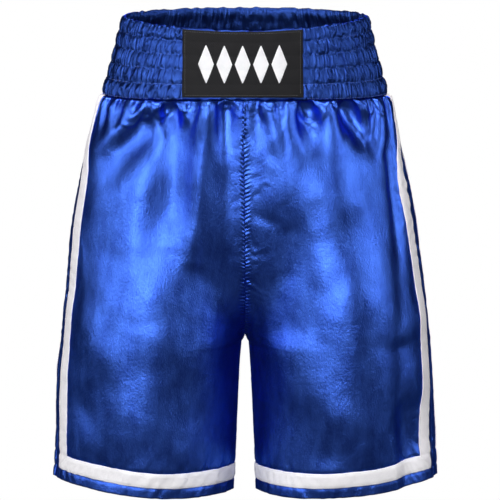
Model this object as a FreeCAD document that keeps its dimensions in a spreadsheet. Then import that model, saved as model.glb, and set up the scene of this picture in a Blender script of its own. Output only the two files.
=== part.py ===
"""Boxing shorts: satin trunks with a wide shirred waistband, a front patch and white tape.

Frame: +Z up, the wearer faces -Y, and the origin is the centre of the waist opening at its top
edge. Left and right are the wearer's, so the right leg lies on the -X side. Millimetres.
The waistband and the cloth round the hips are one body. Each leg is another, which swings about
an axis along X through the hips, so the cloth is divided by a cylinder about that axis.
"""
import FreeCAD, Part
import math
import os

V = FreeCAD.Vector
doc = FreeCAD.newDocument("boxing_shorts")

# ---------------------------------------------------------------- driving dimensions
DIMENSIONS = [
    ("waist_half_width", 145), ("waist_half_depth", 90),      # oval of the top edge
    ("seam_half_width", 168), ("seam_half_depth", 100),       # oval of the seam under the band
    ("band_height", 92), ("band_rows", 5), ("band_puff", 2.6),
    ("casing_wall", 0.7), ("elastic_thickness", 1.6), ("fold_depth", 1.2),
    ("thread", 0.6), ("layer_gap", 0.3),
    ("leg_drop", 481), ("hem_rise", 18), ("hem_half_width", 233),
    ("crotch_share", 0.609), ("leg_gap", 13), ("seam_gap", 0.8),
    ("front_depth_hem", 82), ("front_bulge", 12), ("back_depth_hem", 84), ("seat_bulge", 26),
    ("side_point", 1.25), ("inner_point", 1.6),               # 1 is an ellipse, more is pointed
    ("side_seam_turn", 5), ("satin", 0.8),
    ("hinge_above_crotch", 110), ("hinge_back", 2.1),         # height, and distance behind Z
    ("hinge_radius", 134), ("hinge_gap", 0.6),
    ("tape_width", 19), ("tape_inset", 13), ("tape_thickness", 0.6),
    ("patch_width", 142), ("patch_height", 80), ("patch_thickness", 0.9), ("patch_drop", 3),
    ("patch_margin", 2),
    ("motif_height", 50), ("motif_step", 21), ("motif_half_width", 9), ("motif_thickness", 0.4),
    ("allowance", 6), ("allowance_thickness", 1.0), ("allowance_clear", 1.4),
    ("label_width", 32), ("label_length", 46), ("label_thickness", 0.4), ("label_back", 90),
]
sheet = doc.addObject("Spreadsheet::Sheet", "Dimensions")
for row, (alias, value) in enumerate(DIMENSIONS, start=1):
    sheet.set(f"A{row}", alias)
    sheet.set(f"B{row}", str(value))
    sheet.setAlias(f"B{row}", alias)
doc.recompute()


def size(alias):
    """The number in the sheet's cell of that name."""
    return float(getattr(sheet, alias))


nodes = []


def node(obj, label):
    """Names a finished sub-part; its label is also its file's name."""
    obj.Label = label
    nodes.append(obj)
    return obj


def feature(name, shape):
    made = doc.addObject("Part::Feature", name)
    made.Shape = shape
    return made


def boolean(kind, name, base, tool):
    made = doc.addObject("Part::" + kind, name)
    made.Base = base
    made.Tool = tool
    return made


def box(name, sides, corner):
    """A box whose three sizes and lowest corner are expressions."""
    made = doc.addObject("Part::Box", name)
    for side, rule in zip(("Length", "Width", "Height"), sides):
        made.setExpression(side, rule)
    for axis, rule in zip("xyz", corner):
        made.setExpression("Placement.Base." + axis, rule)
    return made


# ---------------------------------------------------------------- waistband, built from ovals
def oval(name, share, offset):
    """The band's centre line at a share of its height below the top edge, grown by offset."""
    ellipse = doc.addObject("Part::Ellipse", name)
    for radius, top, low in (("MajorRadius", "waist_half_width", "seam_half_width"),
                             ("MinorRadius", "waist_half_depth", "seam_half_depth")):
        ellipse.setExpression(
            radius,
            f"Dimensions.{top} + (Dimensions.{low} - Dimensions.{top}) * ({share}) + ({offset})")
    ellipse.setExpression("Placement.Base.z", f"-Dimensions.band_height * ({share})")
    return ellipse


def frustum(name, top, low, offset):
    loft = doc.addObject("Part::Loft", name)
    loft.Sections = [oval(name + "_top", top, offset), oval(name + "_low", low, offset)]
    loft.Solid = True
    loft.Ruled = True
    return loft


def ring(name, top, low, inner, outer):
    """A hoop of the band from share top to share low, between two offsets from its centre line."""
    return boolean("Cut", name, frustum(name + "_outside", top, low, outer),
                   frustum(name + "_inside", top, low, inner))


PUFF = "Dimensions.band_puff"
POCKET = "Dimensions.band_puff - Dimensions.casing_wall"
FOLD = "Dimensions.fold_depth / Dimensions.band_height"
THREAD_IN = f"{PUFF} + 0.1"
THREAD_OUT = f"{THREAD_IN} + Dimensions.thread"
PATCH_IN = f"{THREAD_OUT} + 0.2"
PATCH_OUT = f"{PATCH_IN} + Dimensions.patch_thickness"


def make_casing():
    """One strip of satin folded over the elastic: an upturned channel, open at the seam."""
    body = ring("casing_body", "0", "1", f"-({PUFF})", PUFF)
    pocket = ring("casing_pocket", FOLD, "1.05", f"-({POCKET})", POCKET)
    node(boolean("Cut", "casing", body, pocket), "waistband_casing")


def make_elastic():
    half = "Dimensions.elastic_thickness / 2"
    node(ring("elastic", f"{FOLD} + 0.01", "0.97", f"-({half})", half), "waistband_elastic")


def make_row_stitching():
    """The four lines of chain stitch between the five rows of shirring, one thread ring each."""
    half = "Dimensions.thread / 2 / Dimensions.band_height"
    rings = [ring(f"row_thread_{i}", f"{i} / Dimensions.band_rows - {half}",
                  f"{i} / Dimensions.band_rows + {half}", THREAD_IN, THREAD_OUT)
             for i in range(1, int(size("band_rows")))]
    group = doc.addObject("Part::Compound", "row_threads")
    group.Links = rings
    node(group, "waistband_row_stitching")


def patch_block(name, inset):
    """A box through the front of the band, the size of the patch less an inset all round."""
    wide, tall = "Dimensions.patch_width", "Dimensions.patch_height"
    return box(name, (f"{wide} - 2 * ({inset})", "100", f"{tall} - 2 * ({inset})"),
               (f"-{wide} / 2 + ({inset})", "-Dimensions.seam_half_depth - 50",
                f"-Dimensions.patch_drop - {tall} + ({inset})"))


def make_patch():
    node(boolean("Common", "patch", ring("patch_shell", "0", "1", PATCH_IN, PATCH_OUT),
                 patch_block("patch_block", "0")), "waist_patch")


def make_patch_stitching():
    """Lockstitch run close to the patch's four edges."""
    frame = boolean("Cut", "stitch_frame", patch_block("stitch_block", "Dimensions.patch_margin"),
                    patch_block("stitch_window", "Dimensions.patch_margin + Dimensions.thread"))
    shell = ring("stitch_shell", "0", "1", f"{PATCH_OUT} + 0.1", f"{PATCH_OUT} + 0.4")
    node(boolean("Common", "patch_stitches", shell, frame), "patch_stitching")


def make_motif():
    """Five upright lozenges in a row, the middle one tallest: a plain pattern, no lettering."""
    middle = -size("patch_drop") - size("patch_height") / 2
    wide = size("motif_half_width")
    reach = V(0, -size("seam_half_depth") - 50, 0)
    prisms = []
    for i in range(-2, 3):
        x = i * size("motif_step")
        tall = size("motif_height") * (1 - 0.17 * abs(i)) / 2
        corners = [V(x - wide, 0, middle), V(x, 0, middle + tall), V(x + wide, 0, middle),
                   V(x, 0, middle - tall), V(x - wide, 0, middle)]
        prisms.append(Part.Face(Part.makePolygon(corners)).extrude(reach))
    shell = ring("motif_shell", "0.05", "0.95", f"{PATCH_OUT} + 0.1",
                 f"{PATCH_OUT} + 0.1 + Dimensions.motif_thickness")
    prism_group = feature("motif_prisms", Part.makeCompound(prisms))
    node(boolean("Common", "motif", shell, prism_group), "patch_motif")


# ---------------------------------------------------------------- the shape of the two legs
def lerp(a, b, share):
    return a + (b - a) * share


def spread(low, high, count):
    return [lerp(low, high, i / (count - 1)) for i in range(count)]


CROTCH = size("crotch_share")


def smooth(share):
    share = max(0.0, min(1.0, share))
    return share * share * (3 - 2 * share)


def leg_point(side, turn, drop):
    """A point of the shorts below the band.

    side is -1 for the right leg and 1 for the left. turn goes from 0 at the front inner edge,
    through 90 at the widest line, to 180 at the back inner edge. drop goes from 0 at the waist
    seam to 1 at the hem. Above the crotch the two legs share one oval round the hips, and below
    it each is an oval with pointed sides. split tells how far a point has gone from the first to
    the second: sharply at the inner edge, where the crotch is, and gently everywhere else.
    """
    a = math.radians(turn)
    inwardness = (1 + math.cos(2 * a)) / 2
    sharp = 1 - (1 - min(drop / CROTCH, 1.0) ** 3) ** 0.55
    split = lerp(smooth(drop / 0.9), sharp, inwardness ** 3)
    below = max(0.0, (drop - CROTCH) / (1 - CROTCH))
    inner = (size("leg_gap") - 1.5) * below ** 0.3 + 1.5 * below ** 4
    wide = lerp(size("seam_half_width"), size("hem_half_width"), math.sqrt(drop))
    if turn <= 90:
        facing = -1
        deep = lerp(size("seam_half_depth"), size("front_depth_hem"), drop)
        deep += size("front_bulge") * math.sin(math.pi * drop)
    else:
        facing = 1
        deep = lerp(size("seam_half_depth"), size("back_depth_hem"), drop)
        deep += size("seat_bulge") * math.sin(math.pi * drop ** 0.7)
    hip = V(wide * math.sin(a), -deep * math.cos(a), 0)
    slim = abs(math.sin(2 * a)) ** lerp(size("side_point"), size("inner_point"), inwardness)
    leg = V((wide + inner) / 2 - (wide - inner) / 2 * math.cos(2 * a),
            facing * (deep * slim + size("seam_gap") * inwardness), 0)
    flat = hip * (1 - split) + leg * split
    z = -size("band_height") - size("leg_drop") * drop + size("hem_rise") * drop ** 2 * flat.x / wide
    return V(side * (flat.x + size("seam_gap")), flat.y, z)


def outward(side, turn, drop):
    """Unit vector square to the level line through a point, pointing out of the garment."""
    step = 0.4
    low, high = max(turn - step, 0), min(turn + step, 180)
    across = leg_point(side, high, drop) - leg_point(side, low, drop)
    return (across.cross(V(0, 0, -1)) * -side).normalize()


def turn_at(side, drop, start, distance):
    """The turn that lies a distance along the level line from start; negative goes forwards."""
    step = 0.5 if distance > 0 else -0.5
    turn, left, here = start, abs(distance), leg_point(side, start, drop)
    while True:
        there = leg_point(side, turn + step, drop)
        length = (there - here).Length
        if length >= left:
            return turn + step * left / length
        turn, left, here = turn + step, left - length, there


# ---------------------------------------------------------------- solids from rows of points
AS_DRAWN = 1         # makes a ruled surface keep both its edges' directions


def curve_through(points):
    if len(points) == 2:
        return Part.LineSegment(*points).toShape()
    curve = Part.BSplineCurve()
    curve.interpolate(points)
    return curve.toShape()


def solid_between(outer, inner):
    """A closed solid between two grids of points that face each other, ruled from row to row."""
    outside = [curve_through(points) for points in outer]
    inside = [curve_through(points) for points in inner]
    pairs = [(outside[0], inside[0]), (outside[-1], inside[-1])]
    for i in range(len(outer) - 1):
        pairs.append((outside[i], outside[i + 1]))
        pairs.append((inside[i], inside[i + 1]))
        for end in (0, -1):
            pairs.append((curve_through([outer[i][end], outer[i + 1][end]]),
                          curve_through([inner[i][end], inner[i + 1][end]])))
    shell = Part.makeShell([Part.makeRuledSurface(a, b, AS_DRAWN) for a, b in pairs])
    shell.sewShape()
    solid = Part.makeSolid(shell)
    if solid.Volume < 0:
        solid.reverse()
    return solid


def cloth(side, rows, low, high):
    """A solid layer over the leg surface. rows holds one (drop, [turns]) for each level."""
    def lifted(offset):
        grid = []
        for drop, turns in rows:
            points = [leg_point(side, t, drop) + outward(side, t, drop) * offset for t in turns]
            grid.append([V(side * max(side * p.x, size("seam_gap")), p.y, p.z) for p in points])
        return grid
    return solid_between(lifted(high), lifted(low))


SIDES = (("right", -1), ("left", 1))
SIDE_SEAM = 90 - size("side_seam_turn")
HALF_SATIN = size("satin") / 2
TOP_DROP = 0.002     # the cloth starts this far under the waistband
SEAM_EDGE = 0.15     # degrees that a panel stops short of its side seam
TAPE_LOW = HALF_SATIN + size("layer_gap")
TAPE_HIGH = TAPE_LOW + size("tape_thickness")
HEM_LOW = 1 - size("tape_inset") / size("leg_drop")
HEM_HIGH = HEM_LOW - size("tape_width") / size("leg_drop")


def levels(top, bottom):
    """Drops from top to bottom, closer together under the band and on both sides of the crotch."""
    above = [CROTCH * 0.994 * (1 - math.cos(math.pi * v)) / 2 for v in spread(0, 1, 15)]
    below = [lerp(CROTCH, 1, 0.01 + 0.99 * v * v) for v in spread(0, 1, 8)]
    margin = 0.004
    between = [drop for drop in above + below if top + margin < drop < bottom - margin]
    return [top] + between + [bottom]


# ---------------------------------------------------------------- dividing the cloth at the hips
def leg_zone(name, growth):
    """Everything below the hinge line, and a cylinder about it: the part that swings."""
    height = "(-Dimensions.band_height - Dimensions.leg_drop * Dimensions.crotch_share" \
             " + Dimensions.hinge_above_crotch)"
    half_length = "(Dimensions.hem_half_width + 50)"
    barrel = doc.addObject("Part::Cylinder", name + "_barrel")
    barrel.setExpression("Radius", f"Dimensions.hinge_radius + ({growth})")
    barrel.setExpression("Height", f"2 * {half_length}")
    barrel.Placement.Rotation = FreeCAD.Rotation(V(0, 1, 0), 90)
    for axis, rule in zip("xyz", (f"-{half_length}", "Dimensions.hinge_back", height)):
        barrel.setExpression("Placement.Base." + axis, rule)
    depth = "Dimensions.leg_drop"
    below = box(name + "_below", (f"2 * {half_length}", "2 * Dimensions.hinge_radius", depth),
                (f"-{half_length}", "-Dimensions.hinge_radius + Dimensions.hinge_back",
                 f"{height} - {depth}"))
    return boolean("Fuse", name, barrel, below)


SWING_ZONE = leg_zone("swing_zone", "0")
CLEAR_ZONE = leg_zone("clear_zone", "Dimensions.hinge_gap")


def divide(name, shape, label, word):
    """Makes two nodes of a piece that crosses the hinge: its part on the hips and on the leg."""
    whole = feature(name, shape)
    node(boolean("Cut", name + "_upper", whole, CLEAR_ZONE), f"{label}_hip_{word}")
    node(boolean("Common", name + "_lower", whole, SWING_ZONE), f"{label}_leg_{word}")


def make_panels():
    for word, side in SIDES:
        for name, start, stop in (("front", 0, SIDE_SEAM - SEAM_EDGE),
                                  ("back", SIDE_SEAM + SEAM_EDGE, 180)):
            rows = [(drop, spread(start, stop, 25)) for drop in levels(TOP_DROP, 1)]
            divide(f"{name}_{word}", cloth(side, rows, -HALF_SATIN, HALF_SATIN),
                   f"{name}_panel", word)


# ---------------------------------------------------------------- white tape and its stitching
def side_strip(side, facing, near, far):
    """Rows for a strip that runs down the leg between two distances from the side seam."""
    return [(drop, spread(turn_at(side, drop, SIDE_SEAM, facing * near),
                          turn_at(side, drop, SIDE_SEAM, facing * far), 3))
            for drop in levels(TOP_DROP, HEM_HIGH - 0.001)]


def hem_strip(side, facing, top, bottom):
    """Rows for a strip round the hem, from the inseam to the outer edge of the side tape."""
    inner = 1.5 if facing < 0 else 178.5
    rows = []
    for drop in (top, bottom):
        outer = turn_at(side, drop, SIDE_SEAM, facing * size("tape_inset"))
        rows.append((drop, spread(inner, outer, 25)))
    return rows


def make_tapes():
    """White satin tape: one length down each panel's side and one above its hem."""
    inset, width = size("tape_inset"), size("tape_width")
    for word, side in SIDES:
        for name, facing in (("front", -1), ("back", 1)):
            strip = side_strip(side, facing, inset, inset + width)
            divide(f"tape_side_{name}_{word}", cloth(side, strip, TAPE_LOW, TAPE_HIGH),
                   f"side_tape_{name}", word)
            band = hem_strip(side, facing, HEM_HIGH, HEM_LOW)
            node(feature(f"tape_hem_{name}_{word}", cloth(side, band, TAPE_LOW, TAPE_HIGH)),
                 f"hem_tape_{name}_{word}")


def make_tape_stitching():
    """A line of lockstitch just inside each long edge of every tape, in groups by body."""
    inset, width, thread = size("tape_inset"), size("tape_width"), size("thread")
    margin = 1.5
    low, high = TAPE_HIGH + 0.15, TAPE_HIGH + 0.45
    per_mm = 1 / size("leg_drop")
    for word, side in SIDES:
        down, across = [], []
        for facing in (-1, 1):
            for near in (inset + margin, inset + width - margin - thread):
                rows = side_strip(side, facing, near, near + thread)
                down.append(cloth(side, rows, low, high))
            for bottom in (HEM_LOW - margin * per_mm, HEM_HIGH + (margin + thread) * per_mm):
                rows = hem_strip(side, facing, bottom - thread * per_mm, bottom)
                across.append(cloth(side, rows, low, high))
        divide(f"tape_threads_{word}", Part.makeCompound(down), "side_tape_stitching", word)
        node(feature(f"hem_threads_{word}", Part.makeCompound(across)), f"hem_tape_stitching_{word}")


# ---------------------------------------------------------------- seam allowances and label
def fin(points, inward, across):
    """An overlocked seam allowance: a fin that stands inward from a seam line."""
    near = size("allowance_clear")
    far = near + size("allowance")
    half = size("allowance_thickness") / 2
    grids = [[[p + d * near + a * offset, p + d * far + a * offset]
              for p, d, a in zip(points, inward, across)] for offset in (half, -half)]
    return solid_between(*grids)


def make_rise_allowances():
    """Front and back rise seams on the centre line, each ending a little above the crotch."""
    for name, turn, inward in (("front", 0, V(0, 1, 0)), ("back", 180, V(0, -1, 0))):
        drops = spread(3 * TOP_DROP, CROTCH * 0.88, 14)
        line = [leg_point(1, turn, drop) - V(size("seam_gap"), 0, 0) for drop in drops]
        shape = fin(line, [inward] * len(line), [V(1, 0, 0)] * len(line))
        node(feature(f"rise_{name}", shape), f"rise_seam_allowance_{name}")


def make_side_allowances():
    for word, side in SIDES:
        drops = levels(TOP_DROP, 0.995)
        line = [leg_point(side, SIDE_SEAM, drop) for drop in drops]
        inward = [outward(side, SIDE_SEAM, drop) * -1 for drop in drops]
        across = [d.cross(V(0, 0, 1)).normalize() for d in inward]
        divide(f"side_seam_{word}", fin(line, inward, across), "side_seam_allowance", word)


def make_inseam_allowances():
    """The inside leg seams, from just under the crotch to the hem."""
    for word, side in SIDES:
        line = [leg_point(side, 0, drop) + V(0, size("seam_gap"), 0)
                for drop in spread(lerp(CROTCH, 1, 0.06), 0.995, 10)]
        shape = fin(line, [V(side, 0, 0)] * len(line), [V(0, 1, 0)] * len(line))
        node(feature(f"inseam_{word}", shape), f"inseam_allowance_{word}")


def make_care_label():
    """A blank label sewn into the waist seam by its top edge, hanging inside the back."""
    node(box("label", ("Dimensions.label_width", "Dimensions.label_thickness",
                       "Dimensions.label_length"),
             ("-Dimensions.label_width / 2", "Dimensions.label_back",
              "-Dimensions.band_height - 2 - Dimensions.label_length")), "care_label")


# ---------------------------------------------------------------- build, test and write
for make in (make_casing, make_elastic, make_row_stitching, make_patch, make_patch_stitching,
             make_motif, make_panels, make_tapes, make_tape_stitching, make_rise_allowances,
             make_side_allowances, make_inseam_allowances, make_care_label):
    make()
doc.recompute()

faults = [o.Name for o in doc.Objects if "Invalid" in o.State or "Error" in o.State]
faults += [o.Label for o in nodes
           if o.Shape.isNull() or not o.Shape.isValid() or o.Shape.Volume <= 0 or not o.Shape.Solids]
if faults:
    raise RuntimeError(f"these did not build: {faults}")

os.makedirs("parts", exist_ok=True)
for sub_part in nodes:
    sub_part.Shape.exportStep(f"parts/{sub_part.Label}.step")
    print(f"{sub_part.Label}: {len(sub_part.Shape.Solids)} solids, {sub_part.Shape.Volume:.0f} mm3")
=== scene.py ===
"""Boxing shorts, as worn: satin cloth, shirred waistband, woven patch and white tape.

Metres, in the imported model's frame: the origin is the centre of the waist opening, the wearer
faces -Y and +X is the wearer's left.
"""
import math

import bpy
import numpy as np
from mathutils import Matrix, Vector


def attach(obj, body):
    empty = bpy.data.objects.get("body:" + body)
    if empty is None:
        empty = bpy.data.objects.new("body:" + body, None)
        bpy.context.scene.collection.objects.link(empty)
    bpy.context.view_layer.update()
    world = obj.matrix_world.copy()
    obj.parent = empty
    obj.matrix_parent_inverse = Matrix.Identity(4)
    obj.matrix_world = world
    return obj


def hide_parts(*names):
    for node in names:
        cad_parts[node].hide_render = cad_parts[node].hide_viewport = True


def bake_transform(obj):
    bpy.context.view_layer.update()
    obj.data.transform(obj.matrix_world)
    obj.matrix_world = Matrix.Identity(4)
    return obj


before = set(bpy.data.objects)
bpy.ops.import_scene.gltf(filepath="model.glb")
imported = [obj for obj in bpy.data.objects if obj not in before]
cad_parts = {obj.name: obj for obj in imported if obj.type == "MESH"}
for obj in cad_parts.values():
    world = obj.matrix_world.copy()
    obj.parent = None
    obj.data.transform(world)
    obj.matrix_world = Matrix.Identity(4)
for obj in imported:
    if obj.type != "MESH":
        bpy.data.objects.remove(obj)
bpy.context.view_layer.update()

# ---- sizes, as in the CAD model
MM = 0.001
WAIST_HALF_WIDTH, WAIST_HALF_DEPTH = 145 * MM, 90 * MM
SEAM_HALF_WIDTH, SEAM_HALF_DEPTH = 168 * MM, 100 * MM
BAND_HEIGHT = 92 * MM
LEG_DROP = 481 * MM
HEM_RISE = 18 * MM
HEM_HALF_WIDTH = 233 * MM
CROTCH = 0.609
LEG_GAP = 13 * MM
FRONT_DEPTH_HEM, FRONT_BULGE = 82 * MM, 12 * MM
BACK_DEPTH_HEM, SEAT_BULGE = 84 * MM, 26 * MM
SIDE_POINT, INNER_POINT = 1.25, 1.6
SIDE_SEAM = math.radians(85)
TAPE_WIDTH, TAPE_INSET = 19 * MM, 13 * MM
# Only here, and level or straight in the CAD model: the side seam lies further back under the
# band, and at the middle of the front that seam's line lifts and the band's top edge dips.
TOP_TWIST = math.radians(9)
SEAM_LIFT, TOP_DIP = 5 * MM, 8 * MM
SIDES = (("right", -1), ("left", 1))


# ---- small numeric tools
def smooth(x):
    x = np.clip(x, 0.0, 1.0)
    return x * x * (3 - 2 * x)


def mix(a, b, share):
    return a + (b - a) * share


def bump(x, centre, width):
    return np.exp(-((x - centre) / width) ** 2)


def hashed(ix, iy, seed):
    """A number from 0 to 1 for each lattice point."""
    n = (ix.astype(np.int64) * 374761393 + iy.astype(np.int64) * 668265263 + seed * 974711) & 0x7FFFFFFF
    n = ((n ^ (n >> 13)) * 1274126177) & 0x7FFFFFFF
    return ((n ^ (n >> 16)) & 0xFFFF) / 65535.0


def noise(x, y, seed, period=10 ** 6):
    """Smooth noise from -1 to 1 with a feature size of one unit, repeating in x after a whole period."""
    x, y = np.broadcast_arrays(np.asarray(x, float), np.asarray(y, float))
    ix, iy = np.floor(x), np.floor(y)
    fx, fy = smooth(x - ix), smooth(y - iy)
    here, beside = ix % period, (ix + 1) % period
    low = mix(hashed(here, iy, seed), hashed(beside, iy, seed), fx)
    high = mix(hashed(here, iy + 1, seed), hashed(beside, iy + 1, seed), fx)
    return 2 * mix(low, high, fy) - 1


def normalised(v):
    return v / np.maximum(np.linalg.norm(v, axis=-1, keepdims=True), 1e-12)


# ---- the shape under the cloth
def side_width(drop):
    """Half the width of the shorts below the band: a quick flare, then a slow one to the hem."""
    flare = 40 * MM
    rest = HEM_HALF_WIDTH - SEAM_HALF_WIDTH - flare
    return SEAM_HALF_WIDTH + flare * (1 - np.exp(-drop / 0.25)) + rest * drop


def leg_surface(side, turn, drop):
    """Points of the smooth shorts below the band, for arrays of turn (radians) and drop (0 to 1)."""
    turn, drop = np.broadcast_arrays(np.asarray(turn, float), np.asarray(drop, float))
    turn = turn + TOP_TWIST * (1 - smooth(drop / 0.25)) * np.sin(turn) ** 2
    inwardness = (1 + np.cos(2 * turn)) / 2
    sharp = 1 - (1 - np.minimum(drop / CROTCH, 1.0) ** 3) ** 0.55
    split = mix(smooth(drop / 0.9), sharp, inwardness ** 10)
    below = np.maximum(0.0, (drop - CROTCH) / (1 - CROTCH))
    inner = (LEG_GAP - 1.5 * MM) * below ** 0.3 + 1.5 * MM * below ** 4
    wide = side_width(drop)
    front = turn <= math.pi / 2
    front_depth = mix(SEAM_HALF_DEPTH, FRONT_DEPTH_HEM, drop) + FRONT_BULGE * np.sin(math.pi * drop)
    back_depth = mix(SEAM_HALF_DEPTH, BACK_DEPTH_HEM, drop) + SEAT_BULGE * np.sin(math.pi * drop ** 0.7)
    deep = np.where(front, front_depth, back_depth)
    slim = np.abs(np.sin(2 * turn)) ** mix(SIDE_POINT, INNER_POINT, inwardness)
    leg_x = wide * (1 - np.cos(2 * turn)) / 2 + inner * inwardness ** 6
    leg_y = np.where(front, -1, 1) * deep * slim
    x = mix(wide * np.sin(turn), leg_x, split)
    y = mix(-deep * np.cos(turn), leg_y, split)
    z = -BAND_HEIGHT - LEG_DROP * drop + HEM_RISE * drop ** 2 * x / wide
    return np.stack([side * x, y, z + seam_lift(turn, drop)], -1)


def seam_lift(turn, drop):
    """The seam under the band rides up a little at the middle of the front."""
    return SEAM_LIFT * np.maximum(np.cos(turn), 0) ** 3 * (1 - smooth(drop / 0.3))


# ---- the cloth's grid
COLUMNS = 152        # squares of cloth round each half of the shorts, from front to back
SEAM_COLUMN = 72     # the column of the side seam
CROTCH_ROW = 74
ROWS = 122
TURNS = np.concatenate([np.linspace(0, SIDE_SEAM, SEAM_COLUMN + 1),
                        np.linspace(SIDE_SEAM, math.pi, COLUMNS - SEAM_COLUMN + 1)[1:]])
DROPS = np.concatenate([np.linspace(0, CROTCH, CROTCH_ROW + 1),
                        np.linspace(CROTCH, 1, ROWS - CROTCH_ROW + 1)[1:]])
TURN_GRID, DROP_GRID = np.meshgrid(TURNS, DROPS)


def joined_index():
    """Vertex numbers of both halves' grids, with the centre seams and the inseams sewn up."""
    count = (ROWS + 1) * (COLUMNS + 1)
    number = np.arange(2 * count)
    a = number[:count].reshape(ROWS + 1, COLUMNS + 1).copy()
    b = number[count:].reshape(ROWS + 1, COLUMNS + 1).copy()
    upper = slice(0, CROTCH_ROW + 1)
    lower = slice(CROTCH_ROW, ROWS + 1)
    a[lower, -1] = a[lower, 0]
    b[upper, 0] = a[upper, 0]
    b[upper, -1] = a[upper, -1]
    b[lower, -1] = b[lower, 0]
    used, packed = np.unique(np.concatenate([a.ravel(), b.ravel()]), return_inverse=True)
    packed = packed.reshape(2, ROWS + 1, COLUMNS + 1)
    return used, packed


USED, INDEX = joined_index()


def grid_links(down, across):
    """Batches of links from each grid point to the one some rows down and columns across.

    No batch uses a point twice, so that each can be solved in one go.
    """
    batches = []
    rows = np.arange(0, ROWS + 1 - down)
    first = max(0, -across)
    cols = np.arange(first, COLUMNS + 1 - max(across, 0))
    for part in (0, 1):
        if across:
            r, c = np.meshgrid(rows, cols[(cols - first) // abs(across) % 2 == part], indexing="ij")
        else:
            r, c = np.meshgrid(rows[rows // down % 2 == part], cols, indexing="ij")
        for half in (0, 1):
            i = INDEX[half][r, c].ravel()
            j = INDEX[half][r + down, c + across].ravel()
            keep = i != j
            if not across and half == 1:
                keep &= (c.ravel() > 0) & (c.ravel() < COLUMNS)
            batches.append((i[keep], j[keep], r.ravel()[keep], c.ravel()[keep]))
    return batches


def grid_normals(p):
    """Unit normals of one half's grid of points, outward for the left half."""
    across = np.gradient(p, axis=1)
    down = np.gradient(p, axis=0)
    return normalised(np.cross(down, across))


def half_normals(points):
    """Outward normals of both halves, agreeing along the seams that join them."""
    n = np.stack([grid_normals(points[0]) * -1, grid_normals(points[1])])
    crotch = int(round((points[0].shape[0] - 1) * CROTCH_ROW / ROWS))
    upper, lower = slice(0, crotch + 1), slice(crotch, None)
    sewn = [((0, upper, edge), (1, upper, edge)) for edge in (0, -1)]
    sewn += [((half, lower, 0), (half, lower, -1)) for half in (0, 1)]
    for one, other in sewn:
        shared = normalised(n[one] + n[other])
        n[one] = shared
        n[other] = shared
    return n


# ---- placed folds
def across_share(side, turn, drop):
    """How far across the front or back a point is: 0 at the centre line, 1 at the side."""
    return np.abs(leg_surface(side, turn, drop)[..., 0]) / side_width(drop)


# The folds of each half (-1 is the wearer's right) and facing. Each has its two ends, as (share
# across, drop), then its height and its half width in millimetres. Negative heights are hollows.
FOLDS = {
    (-1, "front"): [
        ((0.25, 0.01), (0.31, 0.38), 11, 11),
        ((0.07, 0.04), (0.05, 0.44), -10, 20),
        ((0.62, 0.01), (0.91, 0.12), 9, 11),
        ((0.60, 0.05), (0.80, 0.19), -14, 19),
        ((0.61, 0.16), (0.65, 0.40), 6, 22),
        ((0.42, 0.10), (0.46, 0.35), -15, 27),
        ((0.50, 0.03), (0.40, 0.06), -7, 9),
        ((0.80, 0.62), (0.45, 0.90), 5, 22),
    ],
    (1, "front"): [
        ((0.42, 0.03), (0.46, 0.08), -12, 16),
        ((0.70, 0.03), (0.80, 0.11), -12, 16),
        ((0.10, 0.03), (0.09, 0.07), -5, 7),
        ((0.16, 0.03), (0.20, 0.11), 4, 5),
        ((0.06, 0.27), (0.17, 0.29), -2, 6),
        ((0.05, 0.38), (0.13, 0.36), -1.5, 6),
        ((0.46, 0.22), (0.62, 0.62), 10, 44),
        ((0.30, 0.62), (0.70, 0.95), 5, 22),
        ((0.91, 0.13), (0.82, 0.62), -6, 6),
        ((0.82, 0.62), (0.84, 1.00), -7, 8),
        ((0.87, 0.80), (0.89, 1.00), -8, 14),
    ],
    (-1, "back"): [
        ((0.50, 0.04), (0.70, 0.30), 7, 14),
        ((0.20, 0.20), (0.45, 0.60), 6, 28),
    ],
    (1, "back"): [
        ((0.45, 0.04), (0.55, 0.26), -7, 14),
        ((0.25, 0.10), (0.60, 0.50), 6, 26),
    ],
}
# Hollows pressed into the cloth after it is draped, between the gathers under the band.
HOLLOWS = {
    (-1, "front"): [
        ((0.50, 0.02), (0.40, 0.05), -4, 12),
        ((0.13, 0.02), (0.12, 0.12), -5, 9),
        ((0.68, 0.06), (0.80, 0.14), -5, 12),
    ],
    (1, "front"): [
        ((0.40, 0.02), (0.46, 0.05), -5, 15),
        ((0.70, 0.02), (0.79, 0.08), -6, 14),
    ],
}


def fold_height(side, turn, drop, folds=FOLDS):
    """Height of the placed folds above the smooth shape, in metres."""
    share = across_share(side, turn, drop)
    front = turn <= math.pi / 2
    height = np.zeros_like(share)
    scale = np.array([200 * MM, LEG_DROP])      # metres from the centre to the side, and down
    for facing, facing_side in (("front", front), ("back", ~front)):
        for start, end, tall, wide in folds.get((side, facing), ()):
            a, b = np.array(start) * scale, np.array(end) * scale
            p = np.stack([share * scale[0], drop * scale[1]], -1) - a
            along = np.clip(p @ (b - a) / ((b - a) @ (b - a)), 0, 1)
            away = np.linalg.norm(p - along[..., None] * (b - a), axis=-1)
            near = np.exp(-(away / (wide * MM)) ** 2) * smooth(1.4 - along)
            height += tall * MM * near * facing_side
    return height


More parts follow.
